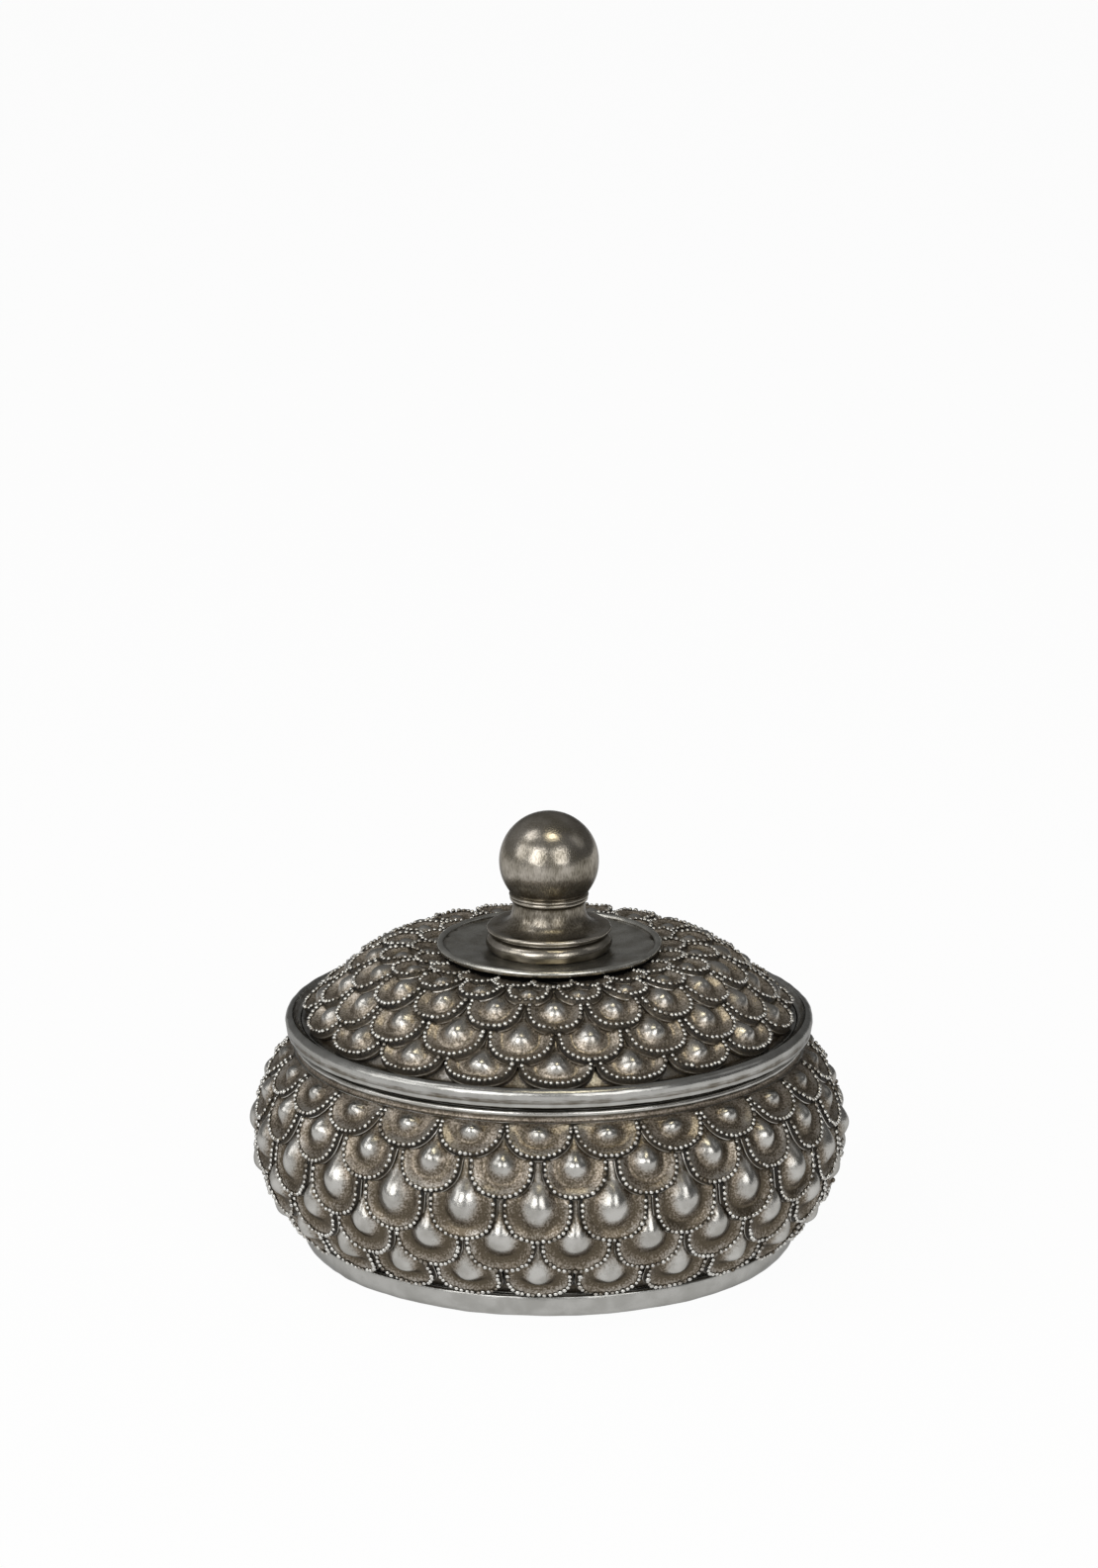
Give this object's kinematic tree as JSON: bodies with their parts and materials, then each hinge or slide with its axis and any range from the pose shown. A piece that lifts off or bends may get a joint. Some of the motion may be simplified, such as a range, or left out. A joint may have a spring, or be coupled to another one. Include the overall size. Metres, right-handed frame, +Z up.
{
  "type": "trinket box",
  "caption": "Squat round trinket box with a lift-off domed lid, both clad in overlapping beaded scales with drop bosses, and a ball knob in a small dish.",
  "frame": {"origin": "middle of the felt under the foot, on the surface that the box stands on", "axes": "+Z up along the box's axis, the way the lid lifts off; -Y towards the viewer of the picture, +X to the viewer's right"},
  "size_m": [0.1505, 0.1506, 0.1103],
  "materials": {
    "antique_silver": "cast resin with a rubbed antique silver leaf, dark in the recesses",
    "bronzed_silver": "cast resin with a warm, bronzed silver leaf, semi-gloss",
    "steel": "zinc plated",
    "felt": "black felt"
  },
  "bodies": {
    "bowl": {"bowl_shell": "antique_silver", "mouth_ring": "antique_silver", "foot_ring": "antique_silver", "base_felt": "felt", "bowl_scales_row_1": "antique_silver", "bowl_scales_row_2": "antique_silver", "bowl_scales_row_3": "antique_silver", "bowl_scales_row_4": "antique_silver", "bowl_scales_row_5": "antique_silver", "bowl_beading_row_1": "antique_silver", "bowl_beading_row_2": "antique_silver", "bowl_beading_row_3": "antique_silver", "bowl_beading_row_4": "antique_silver", "bowl_beading_row_5": "antique_silver"},
    "lid": {"lid_shell": "antique_silver", "lid_rim": "antique_silver", "lid_locating_ring": "antique_silver", "knob_dish": "bronzed_silver", "knob_ring": "bronzed_silver", "knob_stem": "bronzed_silver", "knob_ball": "bronzed_silver", "knob_screw": "steel", "knob_washer": "steel", "lid_scales_row_1": "antique_silver", "lid_scales_row_2": "antique_silver", "lid_scales_row_3": "antique_silver", "lid_scales_row_4": "antique_silver", "lid_scales_row_5": "antique_silver", "lid_beading_row_1": "antique_silver", "lid_beading_row_2": "antique_silver", "lid_beading_row_3": "antique_silver", "lid_beading_row_4": "antique_silver", "lid_beading_row_5": "antique_silver"}
  },
  "joints": [
    {"name": "lid_lift", "type": "slide", "parent": "bowl", "child": "lid", "axis": [0, 0, 1], "range_m": [0, 0.08]}
  ]
}
